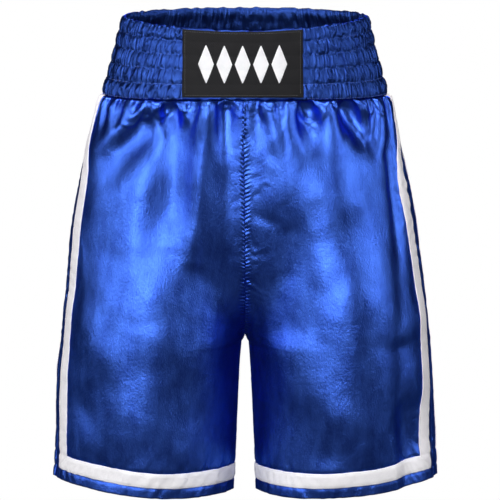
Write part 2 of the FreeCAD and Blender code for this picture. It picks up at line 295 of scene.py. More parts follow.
def broad_height(side, turn, drop):
    """Wide, low swells of the hanging cloth, which carry the cloudy highlights."""
    share = across_share(side, turn, drop)
    thigh = 15 * MM * bump(drop, 0.60, 0.34) * bump(share, 0.52, 0.40)
    seat = np.where(turn > math.pi / 2, 0.4, 1.0)
    puff = (8 - 3 * side) * MM * np.abs(np.cos(turn)) * (1 - np.exp(-drop / 0.03)) * (1 - smooth(drop / 0.5))
    x, y = share * 3.0 + side * 7.3 + np.where(turn > math.pi / 2, 31.7, 0), drop * 5.5
    clouds = 3.2 * MM * noise(x, y, 5) + 1.6 * MM * noise(2.1 * x, 2.3 * y, 6)
    return thigh * seat + puff + clouds * smooth(share * 5) * smooth(drop * 6)


# ---- draping the cloth
def gather(turn, drop):
    """Width of the flat cloth over the width it is held to: full under the band, slack below."""
    taut = 0.03 * np.cos(turn) ** 4 * bump(drop, 0.55, 0.2)
    loose = np.where(turn > math.pi / 2, 0.008, 0.02)
    return 1.0 - taut + loose * np.sin(turn) ** 2 + (0.42 - 0.2 * np.sin(turn) ** 4) * np.exp(-drop / 0.05)


LENGTH_SLACK = 1.008     # length of the flat cloth over the length it hangs in


def drape():
    """Position-based cloth: both halves sewn together, held at the band and kept near the body.

    The flat cloth is wider than the space it hangs in, so it buckles into folds under the band.
    """
    smooth_shape = np.stack([leg_surface(side, TURN_GRID, DROP_GRID) for _, side in SIDES])
    normals = half_normals(smooth_shape)
    seam_edge = np.minimum(np.sin(TURN_GRID) / 0.12, 1)
    rise_edge = mix(1, seam_edge, smooth((DROP_GRID - CROTCH + 0.12) / 0.12))
    lift = np.stack([fold_height(side, TURN_GRID, DROP_GRID) * seam_edge +
                     broad_height(side, TURN_GRID, DROP_GRID) * rise_edge for _, side in SIDES])
    target = smooth_shape + normals * lift[..., None]
    rng = np.random.default_rng(11)
    ripple = np.stack([noise(TURN_GRID * 17 + 4 * DROP_GRID + 9 * i, DROP_GRID * 14, 20 + i) * 6.0 *
                       np.exp(-DROP_GRID / 0.07) + noise(TURN_GRID * 12, DROP_GRID * 16, 30 + i) * 0.8
                       for i in (0, 1)]) * MM
    start = target + normals * (ripple * seam_edge)[..., None]
    start += rng.normal(0, 0.05 * MM, start.shape)

    def packed(values):
        return values.reshape(-1, values.shape[-1])[USED].astype(np.float32)

    rest_shape, goal, out, point = packed(smooth_shape), packed(target), packed(normals), packed(start)
    calm = 1 - 0.9 * np.exp(-(TURN_GRID / 0.6) ** 2) * bump(DROP_GRID, 0.52, 0.22)
    free_height = packed(np.stack([(smooth(DROP_GRID / 0.08) * calm)[..., None]] * 2))[:, 0]
    pull = 0.012 + 0.12 * (1 - packed(np.stack([calm[..., None]] * 2))[:, 0])
    fixed = np.zeros(len(point), bool)
    fixed[INDEX[:, 0].ravel()] = True
    free = (~fixed).astype(np.float32)[:, None]
    point[fixed] = rest_shape[fixed]

    batches = []
    for down, across, stiffness in ((0, 1, 1.0), (1, 0, 1.0), (1, 1, 0.35), (1, -1, 0.35),
                                    (0, 2, 0.45), (2, 0, 0.45), (0, 4, 0.35)):
        for i, j, r, c in grid_links(down, across):
            d = rest_shape[j] - rest_shape[i]
            turn, drop = TURNS[c], DROPS[r]
            wide, tall = np.hypot(d[:, 0], d[:, 1]) * gather(turn, drop), d[:, 2] * LENGTH_SLACK
            rest = np.hypot(wide, tall).astype(np.float32)
            bending = max(across, down) > 1
            batches.append((i, j, rest, free[i] * stiffness, free[j] * stiffness, bending))

    speed = np.zeros_like(point)
    gravity = np.array([0, 0, -2.0], np.float32)
    damping, sideways_pull = 0.90, 0.03
    time_step, rounds, steps = 1 / 60, 7, 70
    for _ in range(steps):
        before = point.copy()
        point += (speed * damping * time_step + gravity * time_step ** 2) * free
        for _ in range(rounds):
            for i, j, rest, share_i, share_j, bending in batches:
                d = point[j] - point[i]
                length = np.sqrt((d * d).sum(1)) + 1e-9
                error = (length - rest) / length
                if bending:
                    error = np.minimum(error, 0)
                push = d * (0.5 * error)[:, None]
                point[i] += push * share_i
                point[j] -= push * share_j
            away = point - goal
            height = (away * out).sum(1)
            sideways = away - out * height[:, None]
            # Pushes back cloth past 4 mm inside its goal or 10 mm outside, or 1 and 2 mm where held.
            too_deep = np.minimum(height + 0.001 + 0.003 * free_height, 0) * 0.5
            too_high = np.maximum(height - 0.002 - 0.008 * free_height, 0) * 0.35
            point -= (sideways * sideways_pull + out * (height * pull + too_deep + too_high)[:, None]) * free
        speed = (point - before) / time_step
    return [point[INDEX[half]].astype(float) for half in (0, 1)]


# ---- meshes from grids
def make_mesh(name, verts, quads, flat=None, seam=None):
    mesh = bpy.data.meshes.new(name)
    verts, quads = np.asarray(verts, np.float32), np.asarray(quads, np.int32)
    mesh.vertices.add(len(verts))
    mesh.vertices.foreach_set("co", verts.ravel())
    mesh.loops.add(quads.size)
    mesh.loops.foreach_set("vertex_index", quads.ravel())
    mesh.polygons.add(len(quads))
    mesh.polygons.foreach_set("loop_start", np.arange(0, quads.size, 4, dtype=np.int32))
    mesh.polygons.foreach_set("loop_total", np.full(len(quads), 4, np.int32))
    mesh.polygons.foreach_set("use_smooth", np.ones(len(quads), bool))
    for layer_name, values in (("flat", flat), ("seam", seam)):
        if values is not None:
            layer = mesh.uv_layers.new(name=layer_name)
            layer.data.foreach_set("uv", np.asarray(values, np.float32)[quads.ravel()].ravel())
    mesh.update(calc_edges=True)
    mesh.validate()
    obj = bpy.data.objects.new(name, mesh)
    bpy.context.scene.collection.objects.link(obj)
    return obj


def grid_quads(rows, cols, first=0, closed=False, tube=False, flip=False):
    """Faces of a grid of points, joining its last column to its first if closed, and rows if a tube."""
    number = np.arange(rows * cols).reshape(rows, cols) + first
    if tube:
        number = np.concatenate([number, number[:1]], 0)
    if closed:
        number = np.concatenate([number, number[:, :1]], 1)
    a, b, c, d = number[:-1, :-1], number[:-1, 1:], number[1:, 1:], number[1:, :-1]
    order = (a, b, c, d) if not flip else (a, d, c, b)
    return np.stack([q.ravel() for q in order], 1)


def rim_quads(ring_a, ring_b):
    a, b = np.asarray(ring_a), np.asarray(ring_b)
    return np.stack([a, np.roll(a, -1), np.roll(b, -1), b], 1)


def shell_quads(rows, cols, first=0, flip=False):
    """Faces of a closed layer: an outer grid, an inner grid and the rim that joins them."""
    count = rows * cols
    number = np.arange(first, first + count).reshape(rows, cols)
    ring = np.concatenate([number[0, :-1], number[:-1, -1], number[-1, :0:-1], number[:0:-1, 0]])
    rim = rim_quads(ring + count, ring) if not flip else rim_quads(ring, ring + count)
    outer = grid_quads(rows, cols, first, flip=flip)
    inner = grid_quads(rows, cols, first + count, flip=not flip)
    return np.concatenate([outer, inner, rim])


def cloth_shell(name, outer, inner, flat, flip=False, seam=None):
    """A closed layer of cloth between two grids of points."""
    verts = np.concatenate([outer.reshape(-1, 3), inner.reshape(-1, 3)])
    both = [None if values is None else np.concatenate([values.reshape(-1, 2)] * 2)
            for values in (flat, seam)]
    return make_mesh(name, verts, shell_quads(*outer.shape[:2], flip=flip), *both)


# ---- the draped cloth, made finer
FINE_SEAM = 2 * SEAM_COLUMN
FINE_CROTCH = 2 * CROTCH_ROW
CLOTH_THICK = 0.5 * MM


def finer(p):
    """Twice as many points down the first axis, on a curve through the ones given."""
    ends = np.concatenate([2 * p[:1] - p[1:2], p, 2 * p[-1:] - p[-2:-1]])
    between = (9 * (ends[1:-2] + ends[2:-1]) - ends[:-3] - ends[3:]) / 16
    out = np.empty((2 * len(p) - 1,) + p.shape[1:])
    out[::2], out[1::2] = p, between
    return out


def finer_grid(p):
    return np.swapaxes(finer(np.swapaxes(finer(p), 0, 1)), 0, 1)


FINE_TURN, FINE_DROP = np.meshgrid(finer(TURNS), finer(DROPS))


def lengths(p, axis):
    """Distance along each line of the grid from its first point."""
    step = np.linalg.norm(np.diff(p, axis=axis), axis=-1)
    return np.insert(np.cumsum(step, axis), 0, 0, axis)


FLAT_SHAPE = leg_surface(1, FINE_TURN, FINE_DROP)
FROM_FRONT = lengths(FLAT_SHAPE, 1)
FROM_BACK = FROM_FRONT[:, -1:] - FROM_FRONT
FROM_SIDE = FROM_FRONT[:, FINE_SEAM:FINE_SEAM + 1] - FROM_FRONT       # positive towards the front
FROM_TOP = lengths(FLAT_SHAPE, 0)
FROM_HEM = FROM_TOP[-1:] - FROM_TOP


# ---- puckers along the seams
def seam_wrinkles(away, along, pitch, tall, decay, seed, shift=0.0):
    """Wrinkles that slant out from a puckered seam and die away from it."""
    lean = 1.1 * noise(along / 0.028, 0, seed)
    phase = shift + along / pitch + 0.8 * noise(along / 0.023, away / 0.012, seed + 1) + away / pitch * lean
    uneven = 0.55 + 0.45 * noise(along / (1.3 * pitch), away / 0.015, seed + 2)
    edge = 1 - np.exp(-away / (1.6 * MM))
    wave_height = 1.4 * noise(2 * phase, away / decay, seed + 4)
    return tall * wave_height * uneven * np.exp(-away / decay) * edge


def tape_inset(above):
    """Distance from the side seam to the side tape: the tape turns to the side under the band."""
    return TAPE_INSET - 9 * MM * smooth((above - 0.37) / 0.09)


def hanging_loops(seed):
    """Small loops of loose cloth that hang between the gathers under the band."""
    height = np.zeros_like(FINE_DROP)
    spot, number = 9 * MM, 0
    while spot < FROM_FRONT[0, -1] - 9 * MM:
        size, depth, lean, gap = (hashed(np.array(number), np.array(k), seed) for k in range(4))
        radius = (4 + 9 * size ** 2) * MM
        down = FROM_TOP - (3 + 20 * depth ** 2) * MM
        across = FROM_FRONT - spot - 0.7 * (lean - 0.5) * down
        across = across * (1 + 0.25 * np.minimum(down, 0) / radius)
        loop = np.where(down > 0, np.abs(np.hypot(across, down) - radius), np.abs(np.abs(across) - radius))
        inside = smooth(1 - np.hypot(across, np.maximum(down, 0)) / radius)
        height = np.maximum(height, (1.1 + 0.9 * lean) * MM * bump(loop, 0, 1.5 * MM)) - 1.1 * MM * inside
        spot += 2 * radius + 16 * MM * gap
        number += 1
    fade = (1 - np.exp(-FROM_TOP / (2 * MM))) * smooth((0.12 - FINE_DROP) / 0.02)
    return height * fade * (1 - 0.7 * np.sin(FINE_TURN) ** 4)


def pucker(half):
    """Height of the fine wrinkles over the draped cloth of one half, in metres."""
    seed = 40 + 20 * half
    above_crotch = FINE_DROP <= CROTCH
    height = np.zeros_like(FINE_DROP)
    for away, number in ((FROM_FRONT, 0), (FROM_BACK, 1)):
        rise = seam_wrinkles(away, FROM_TOP, 7.5 * MM, 0.8 * MM, 5 * MM, seed + 3 * number, 0.5 * half)
        tall = (0.8 + 1.5 * half) * MM
        broad = seam_wrinkles(away, FROM_TOP, 15 * MM, tall, 13 * MM, seed + 31 + number, 0.37 * half)
        inseam = seam_wrinkles(away, FROM_TOP, 11 * MM, 0.5 * MM, 6 * MM, seed + 3 * number)
        dip = np.where(above_crotch, 1.6, 1.0) * MM * bump(away, 0, 3 * MM)
        valley = (5 * MM * bump(away, 0, 26 * MM) * smooth(FINE_DROP / 0.08) *
                  smooth((0.62 - FINE_DROP) / 0.15))
        height += np.where(above_crotch, rise + broad, inseam) - dip - valley
    away = np.abs(FROM_SIDE)
    beside_seam = seam_wrinkles(away, FROM_TOP, 9.5 * MM, 0.9 * MM, 6 * MM, seed + 8)
    height += beside_seam - 1.1 * MM * bump(away, 0, 3 * MM)

    edge_in, edge_out = tape_inset(FROM_HEM), tape_inset(FROM_HEM) + TAPE_WIDTH
    from_tape = np.maximum(away - edge_out, 0) + np.maximum(edge_in - away, 0)
    on_tape = (away > edge_in) & (away < edge_out)
    ripples = seam_wrinkles(from_tape + 1.5 * MM, FROM_TOP, 10 * MM, 0.7 * MM, 9 * MM, seed + 11)
    clear_of_hem = smooth((FROM_HEM - 0.03) / 0.03)
    height += ripples * clear_of_hem * np.where(on_tape, 0.9, 1)

    over_tape = np.maximum(FROM_HEM - TAPE_INSET - TAPE_WIDTH, 0)
    under_tape = np.maximum(TAPE_INSET - FROM_HEM, 0)
    x = FROM_FRONT + 0.5 * FROM_HEM * noise(FROM_FRONT / 0.05, 0, seed + 14)
    small = (noise(x / (6 * MM), FROM_HEM / 0.02, seed + 15) +
             0.6 * noise(x / (15 * MM), FROM_HEM / 0.05, seed + 16))
    fade = np.exp(-over_tape / 0.016) * np.exp(-under_tape / 0.03)
    height += 1.1 * MM * small * fade * np.where((over_tape == 0) & (under_tape == 0), 0.6, 1)
    fan = FROM_FRONT + 0.7 * FROM_TOP * noise(FROM_FRONT / 0.035, 0, seed + 17) + 3.1 * half
    ridge = 1 - np.abs(noise(fan / 0.006, FROM_TOP / 0.03, seed + 18)) ** 0.7
    height += 1.9 * MM * ridge * np.exp(-FROM_TOP / 0.012) * (1 - np.exp(-FROM_TOP / (1.5 * MM)))
    height += hanging_loops(seed + 19)
    height += fold_height(SIDES[half][1], FINE_TURN, FINE_DROP, HOLLOWS) * smooth(FROM_TOP / (6 * MM))
    stitched = bump(FROM_HEM, TAPE_INSET, 2 * MM) + bump(FROM_HEM, TAPE_INSET + TAPE_WIDTH, 2 * MM)
    return height - 0.9 * MM * stitched


DRAPED = drape()
FINE = [finer_grid(p) for p in DRAPED]
FINE_NORMALS = half_normals(FINE)
TUCK = 1.5 * MM * (1 - smooth(FROM_TOP / (5 * MM)))[..., None]
CLOTH = [FINE[half] + FINE_NORMALS[half] * (pucker(half)[..., None] - TUCK) for half in (0, 1)]
NORMALS = half_normals(CLOTH)


def sampled(grid, row, column):
    """Values of a grid between its points."""
    row = np.clip(row, 0, grid.shape[0] - 1.001)
    column = np.clip(column, 0, grid.shape[1] - 1.001)
    r, c = row.astype(int), column.astype(int)
    fr, fc = row - r, column - c
    if grid.ndim == 3:
        fr, fc = fr[..., None], fc[..., None]
    return mix(mix(grid[r, c], grid[r, c + 1], fc), mix(grid[r + 1, c], grid[r + 1, c + 1], fc), fr)


def row_above_hem(above, column):
    """Grid row at a distance above the hem."""
    row = (1 - above / 0.48) * (FINE_DROP.shape[0] - 1)
    for _ in range(12):
        row = row + (sampled(FROM_HEM, row, column) - above) / (2 * MM)
    return row


def place(from_side, above):
    """Grid row and column at a distance in front of the side seam and above the hem."""
    column = FINE_SEAM - from_side / (1.5 * MM)
    for _ in range(6):
        row = row_above_hem(above, column)
        column = column + 0.8 * (sampled(FROM_SIDE, row, column) - from_side) / (1.5 * MM)
    return row, column


def on_cloth(half, row, column, out):
    """Points on the cloth of one half, a distance out from it."""
    out = np.broadcast_to(out, row.shape)[..., None]
    return sampled(CLOTH[half], row, column) + sampled(NORMALS[half], row, column) * out


# ---- finishing a piece
def split_nodes(piece, word):
    """The two CAD nodes of a piece that the CAD model divides where the leg joins the hips."""
    return [f"{piece}_hip_{word}", f"{piece}_leg_{word}"]


def dress(piece, look, nodes, leg=None):
    """Gives a piece its material and hides the CAD nodes that it stands for; a piece off the legs is
    attached to the hips, while a leg piece only has its transform baked into its mesh.
    """
    piece.data.materials.append(look)
    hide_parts(*nodes)
    if leg is None:
        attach(piece, "hips")
    else:
        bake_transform(piece)
    return piece


def stitches(name, lines, length, radius):
    """A row of short raised stitches along each line, each line being (points, outward normals).

    A stitch is four rings of four points, each a share along it and with a share of its radius.
    """
    rings = ((0.0, 0.45), (0.2, 1.0), (0.8, 1.0), (1.0, 0.45))
    verts, quads, flat, first = [], [], [], 0
    for points, outward in lines:
        start, end, up = points[:-1], points[1:], outward[:-1]
        stride = np.linalg.norm(end - start, axis=1, keepdims=True)
        along = (end - start) / np.maximum(stride, 1e-9)
        beside = normalised(np.cross(along, up))
        count = len(start)
        ring = []
        for share, wide in rings:
            centre = start + along * length * share
            for cos, sin in ((1, 0), (0, 1), (-1, 0), (0, -1)):
                ring.append(centre + (beside * cos + up * sin * 0.8) * radius * wide)
        ring = np.stack(ring, 1)
        verts.append(ring.reshape(-1, 3))
        ids = first + np.arange(count * 16).reshape(count, 4, 4)
        for k in range(3):
            a, b = ids[:, k], ids[:, k + 1]
            quads.append(np.stack([a, np.roll(a, -1, 1), np.roll(b, -1, 1), b], -1).reshape(-1, 4))
        quads.append(ids[:, 0, ::-1])
        quads.append(ids[:, 3])
        u = np.tile(np.repeat([0, 0.2, 0.8, 1.0], 4) * length, count)
        v = np.tile(np.tile([0, 0.25, 0.5, 0.75], 4), count) * 6 * radius
        flat.append(np.stack([u, v], 1))
        first += count * 16
    return make_mesh(name, np.concatenate(verts), np.concatenate(quads), np.concatenate(flat))


def evenly(points, outward, pitch):
    """The line resampled at an even pitch."""
    run = np.insert(np.cumsum(np.linalg.norm(np.diff(points, axis=0), axis=1)), 0, 0)
    at = np.arange(0, run[-1], pitch)
    points, outward = [np.stack([np.interp(at, run, values[:, k]) for k in range(3)], 1)
                       for values in (points, outward)]
    return points, normalised(outward)


# ---- the waistband
BAND_PUFF = 1.0 * MM
ROWS_OF_ELASTIC = 5
GATHERS = 268                 # half wrinkles round the band
PATCH_HALF_WIDTH = 69.5 * MM
PATCH_SHIFT = -2.5 * MM       # the patch sits a little towards the wearer's right
TAU = 2 * math.pi


def row_line(number):
    """Height share of a line of stitching between the rows, the lower rows a little taller."""
    return (number / ROWS_OF_ELASTIC) ** 1.08


def within_row(v):
    """Row number and share down the row, for shares down the band."""
    position = np.clip(v, 0, 0.99999) ** (1 / 1.08) * ROWS_OF_ELASTIC
    row = np.floor(position)
    return row, position - row


def band_place(phi, v, out):
    """Points at an angle from the front centre and a share down the band, a distance out."""
    phi, v, out = np.broadcast_arrays(phi, v, out)
    wide, deep = mix(WAIST_HALF_WIDTH, SEAM_HALF_WIDTH, v), mix(WAIST_HALF_DEPTH, SEAM_HALF_DEPTH, v)
    front = np.maximum(np.cos(phi), 0)
    z = -BAND_HEIGHT * v - TOP_DIP * front ** 2 * (1 - v) + SEAM_LIFT * front ** 3 * v
    outward = normalised(np.stack([np.sin(phi) / wide, -np.cos(phi) / deep, np.full_like(phi, 1.8)], -1))
    return np.stack([wide * np.sin(phi), -deep * np.cos(phi), z], -1) + outward * out[..., None]


def under_patch(phi):
    """1 behind the patch, 0 away from it."""
    across = np.abs(SEAM_HALF_WIDTH * np.sin(phi) - PATCH_SHIFT) + 9 * (np.cos(phi) < 0)
    return 1 - smooth((across - PATCH_HALF_WIDTH) / (5 * MM))


def wrinkle(phi, v, seed):
    """Height of the shirred cloth over its stitched lines, in metres."""
    row, share = within_row(v)
    around = phi / TAU * GATHERS
    middle = np.sin(np.pi * share)
    shift = 1.6 * hashed(row, row, seed) + 0.7 * noise(around / 9, row * 3.7, seed + 1, GATHERS // 9)
    slant = 0.9 * (share - 0.5) * noise(around / 14, row * 5.1, seed + 2, GATHERS // 14)
    ridge = 1 - np.abs(noise(around + shift + slant, row * 2.3 + share * 0.9, seed + 3, GATHERS)) ** 0.6
    fine = noise(around * 2 + 3 * shift, row * 4 + share * 2, seed + 4, 2 * GATHERS)
    teeth = bump(share, 0.86, 0.10) + 0.7 * bump(share, 0.12, 0.09)
    swell = 1 + 0.35 * noise(around / 5, row * 9.1, seed + 5, GATHERS // 5)
    tall = np.where(row == ROWS_OF_ELASTIC - 1, 1.25, 1.0)
    height = 2.4 * MM * ridge * (0.5 + 0.5 * middle ** 0.7) * swell * tall
    return height + 0.7 * MM * fine * (0.3 + teeth)


def band_outside(phi, v):
    _, share = within_row(v)
    puff = BAND_PUFF * np.sin(np.pi * share) ** 0.55
    flat = under_patch(phi)
    skirt = 1.0 * MM * smooth((v - 0.75) / 0.25)
    return mix(puff + skirt + wrinkle(phi, v, 7) - 0.9 * MM, 0.7 * puff, flat)


def band_inside(phi, v):
    _, share = within_row(v)
    return -2.6 * MM - 0.55 * BAND_PUFF * np.sin(np.pi * share) ** 0.6 - 0.8 * wrinkle(phi, v, 27)


def make_band():
    """The casing: cloth folded over the elastic, closed at top and bottom."""
    around = 1060
    phi = np.arange(around) / around * TAU
    down = np.concatenate([[-0.012], np.linspace(0, 1, 57), [1.012]])
    up = np.linspace(1, 0, 21)
    edge = 0.5 * (band_outside(phi, 0.0) + band_inside(phi, 0.0))
    outs = [edge] + [band_outside(phi, v) for v in down[1:-1]] + [edge] + [band_inside(phi, v) for v in up]
    levels = np.concatenate([down, up])
    verts = np.stack([band_place(phi, level, out) for level, out in zip(levels, outs)])
    verts[..., 2] += 0.9 * MM * noise(phi / TAU * GATHERS / 2, levels[:, None] * 3, 61, GATHERS // 2)
    hanging = smooth((levels[:, None] - 0.88) / 0.12)
    verts[..., 2] += 1.8 * MM * noise(phi / TAU * GATHERS / 2, 0.5, 62, GATHERS // 2) * hanging
    quads = grid_quads(*verts.shape[:2], closed=True, tube=True, flip=True)
    flat = np.stack(np.broadcast_arrays(phi * 0.19, -levels[:, None] * BAND_HEIGHT), -1)
    return make_mesh("waistband", verts.reshape(-1, 3), quads, flat.reshape(-1, 2))


def make_elastic():
    """The flat elastic hidden in the casing, with a gap of cloth each side."""
    around, down = 240, 12
    count = down * around
    phi = np.arange(around) / around * TAU
    v = np.linspace(0.08, 0.92, down)[:, None]
    sides = [band_place(phi, v, np.full((down, around), out)) for out in (-1.4 * MM, -2.2 * MM)]
    top = np.arange(around)
    bottom = top + count - around
    quads = [grid_quads(down, around, closed=True, flip=True), grid_quads(down, around, count, closed=True),
             rim_quads(top + count, top), rim_quads(bottom, bottom + count)]
    flat = np.stack(np.broadcast_arrays(phi * 0.13, v * BAND_HEIGHT), -1).reshape(-1, 2)
    verts = np.concatenate([side.reshape(-1, 3) for side in sides])
    return make_mesh("waistband_elastic_strip", verts, np.concatenate(quads), np.concatenate([flat, flat]))


def make_row_stitches():
    lines = []
    phi = np.linspace(0, TAU, 2400)
    for number in range(1, ROWS_OF_ELASTIC + 1):
        v = row_line(number) - (0.012 if number == ROWS_OF_ELASTIC else 0)
        open_part = under_patch(phi) < 0.5
        start = int(np.argmax(open_part))
        pick = phi[start:len(phi) - start]
        points = band_place(pick, v, band_outside(pick, v) + 0.05 * MM)
        outward = band_place(pick, v, 1.0) - band_place(pick, v, 0.0)
        lines.append(evenly(points, outward, 3.1 * MM))
    return stitches("waistband_row_threads", lines, 2.3 * MM, 0.26 * MM)


# ---- patch and emblem
PATCH_TOP, PATCH_BOTTOM = 0.012, 0.972
PATCH_MIDDLE = 0.492
PATCH_THICK = 0.9 * MM
LOZENGES = 5


def on_patch(x, v, out):
    """Points over the patch from a distance across and a share down the band."""
    _, share = within_row(np.broadcast_to(v, np.broadcast_shapes(np.shape(x), np.shape(v))))
    phi = np.arcsin(np.clip((x + PATCH_SHIFT) / mix(WAIST_HALF_WIDTH, SEAM_HALF_WIDTH, v), -1, 1))
    pressed = 2.3 * MM + 0.45 * MM * np.sin(np.pi * share) + 0.35 * MM * noise(x / 0.016, v * 4, 71)
    corner = 0.5 * MM * np.abs(x / PATCH_HALF_WIDTH) ** 6
    return band_place(phi, v, pressed - corner + out)


def patch_width(v):
    return PATCH_HALF_WIDTH * (1 + 0.012 * (v - 0.5)) + 0.35 * MM * noise(v * 7, 0, 72)


def make_patch():
    u, v = np.meshgrid(np.linspace(-1, 1, 145), np.linspace(PATCH_TOP, PATCH_BOTTOM, 83))
    x = u * patch_width(v)
    border = np.maximum(smooth((np.abs(u) - 0.965) / 0.03),
                        smooth((np.abs(v - PATCH_MIDDLE) - 0.455) / 0.02))
    outer = on_patch(x, v, PATCH_THICK - 0.25 * MM * border)
    inner = on_patch(x, v, np.zeros_like(x))
    flat = np.stack([x, -v * BAND_HEIGHT], -1)
    return cloth_shell("waist_patch_woven", outer, inner, flat, flip=False)


def make_patch_stitches():
    across = np.linspace(-0.955, 0.955, 300) * PATCH_HALF_WIDTH
    down = np.linspace(PATCH_TOP + 0.03, PATCH_BOTTOM - 0.03, 200)
    edges = [(across, np.full_like(across, v)) for v in down[[0, -1]]]
    edges += [(np.full_like(down, x), down) for x in across[[0, -1]]]
    lines = []
    for x, v in edges:
        points = on_patch(x, v, PATCH_THICK + 0.05 * MM)
        lines.append(evenly(points, on_patch(x, v, 1.0) - on_patch(x, v, 0.0), 2.9 * MM))
    return stitches("patch_border_threads", lines, 2.2 * MM, 0.24 * MM)


def make_emblem():
    """Five upright lozenges in raised satin stitch."""
    verts, quads, flats, first = [], [], [], 0
    step, half_width, half_height = 21 * MM, 9 * MM, 25 * MM
    for k in range(LOZENGES):
        u, t = np.meshgrid(np.linspace(-1, 1, 17), np.linspace(-1, 1, 101))
        half = half_width * (1 - np.abs(t)) ** 0.92 + 0.35 * MM
        half = half + 0.12 * MM * np.sin(t * 180)
        x = (k - (LOZENGES - 1) / 2) * step + u * half
        v = PATCH_MIDDLE + t * half_height / BAND_HEIGHT
        crown = np.sqrt(np.maximum(0, 1 - u ** 2)) * np.minimum(1, (1 - np.abs(t)) / 0.05 + 0.3)
        raised = 0.75 * MM * crown + 0.05 * MM * np.sin(t * 190) * crown
        outer = on_patch(x, v, PATCH_THICK - 0.1 * MM + raised)
        inner = on_patch(x, v, np.full_like(x, PATCH_THICK - 0.35 * MM))
        verts += [outer.reshape(-1, 3), inner.reshape(-1, 3)]
        quads.append(shell_quads(*u.shape, first))
        flats += [np.stack([u * half, t * half_height], -1).reshape(-1, 2)] * 2
        first += 2 * u.size
    return make_mesh("patch_emblem", np.concatenate(verts), np.concatenate(quads), np.concatenate(flats))


# ---- tapes, seams and threads on the cloth
TAPE_LIFT, TAPE_THICK = 0.15 * MM, 0.6 * MM
SIDE_TAPE_TOP = 0.474


def ribbon(name, half, side, row, column, along, wide):
    """A flat tape laid on the cloth at the given grid places, its edges pressed down."""
    crown = 1 - np.abs(np.linspace(-1, 1, row.shape[1])) ** 6
    ripple = 0.3 * MM * noise(along / 0.007 + wide / 0.02, wide / 0.02, 81 + half)
    outer = on_cloth(half, row, column, TAPE_LIFT + TAPE_THICK * (0.55 + 0.45 * crown) + ripple * crown)
    inner = on_cloth(half, row, column, TAPE_LIFT)
    return cloth_shell(name, outer, inner, np.stack([wide, along], -1), flip=side > 0)


def side_tape_place(facing, across, top_share):
    """Grid places on the side tape and metres along it, from shares across it and up it."""
    low = TAPE_INSET + TAPE_WIDTH * across
    above = mix(low, SIDE_TAPE_TOP, top_share)
    from_side = facing * (tape_inset(above) + TAPE_WIDTH * across)
    row, column = place(from_side, above)
    return row, column, above


def hem_tape_place(facing, up, share):
    """Grid places on the hem tape and metres along it, from shares up it and towards the mitre."""
    above = TAPE_INSET + TAPE_WIDTH * up
    _, end = place(facing * above, above)
    inseam = 0.0 if facing > 0 else FINE_TURN.shape[1] - 1.0
    column = mix(inseam, end, share)
    row = row_above_hem(above, column)
    return row, column, sampled(FROM_FRONT, row, column)


def make_tape(name, half, side, tape_place, facing, steps):
    """A tape of 12 squares across, laid along its route in even steps."""
    across, share = np.meshgrid(np.linspace(0, 1, 13), np.linspace(0, 1, steps))
    row, column, along = tape_place(facing, across, share)
    return ribbon(name, half, side, row, column, along, across * TAPE_WIDTH)


def make_tape_threads(half, name, tape_place, steps):
    """A line of stitching along each edge of the front and back tapes of one kind."""
    lines = []
    along = np.linspace(0, 1, steps)
    for facing in (1, -1):
        for edge in (0.07, 0.93):
            row, column, _ = tape_place(facing, np.full(steps, edge), along)
            points = on_cloth(half, row, column, TAPE_LIFT + TAPE_THICK * 0.92)
            lines.append(evenly(points, on_cloth(half, row, column, 1.0), 3.0 * MM))
    return stitches(name, lines, 2.2 * MM, 0.22 * MM)


def make_allowance(name, half, side, rows, columns, outward=None):
    """An overlocked seam allowance pressed flat to the inside of the cloth."""
    points = CLOTH[half][rows, columns]
    outward = FINE_NORMALS[half][rows, columns] if outward is None else np.array(outward, float)
    loops = 0.3 * MM * np.sin(np.arange(points.shape[0]) * 2.1)[:, None, None]
    outer = points - outward * 2.4 * MM
    inner = points - outward * (3.2 * MM + loops)
    flat = np.stack([FROM_FRONT[rows, columns], FROM_TOP[rows, columns]], -1)
    return cloth_shell(name, outer, inner, flat, flip=side < 0)


LABEL_WIDE, LABEL_TALL = 32 * MM, 46 * MM


def make_label():
    """A blank care label hanging inside the back of the band."""
    x, t = np.meshgrid(np.linspace(-0.5, 0.5, 25) * LABEL_WIDE, np.linspace(0, 1, 37))
    phi = math.pi - np.arcsin(x / WAIST_HALF_WIDTH)
    v = 0.30 + t * LABEL_TALL / BAND_HEIGHT
    curl = 1.2 * MM * t ** 2 + 0.5 * MM * np.sin(x / (7 * MM)) * t
    inner = band_place(phi, v, -6.9 * MM - curl)
    outer = band_place(phi, v, -6.5 * MM - curl)
    return cloth_shell("care_label_blank", outer, inner, np.stack([x, -t * LABEL_TALL], -1), flip=True)


# ---- materials
def feed(tree, node, inputs):
    """Puts a number, colour or link on each named input of a node."""
    for key, value in inputs.items():
        if isinstance(value, bpy.types.NodeSocket):
            tree.links.new(value, node.inputs[key])
        else:
            node.inputs[key].default_value = value


def add(tree, kind, settings=None, inputs=None):
    """A new shader node with its settings and inputs."""
    node = tree.nodes.new("ShaderNode" + kind)
    for key, value in (settings or {}).items():
        setattr(node, key, value)
    feed(tree, node, inputs or {})
    return node


# A colour with alpha. Its factor below 1 darkens the colour, as painted shade.
def opaque(colour, painted_shade=1.0):
    return tuple(painted_shade * c for c in colour) + (1,)


def new_look(name):
    look = bpy.data.materials.new(name)
    look.use_nodes = True
    tree = look.node_tree
    return look, tree, tree.nodes["Principled BSDF"]


def flat_place(tree, across, along):
    """The place on the flat cloth, in metres, stretched for a pattern's two directions."""
    uv = add(tree, "UVMap", {"uv_map": "flat"})
    return add(tree, "VectorMath", {"operation": "MULTIPLY"},
               {0: uv.outputs[0], 1: (across, along, 1.0)}).outputs[0]


def noise_node(tree, place_socket, scale, detail=3.0, rough=0.55):
    return add(tree, "TexNoise", None,
               {"Vector": place_socket, "Scale": scale, "Detail": detail, "Roughness": rough}).outputs["Fac"]


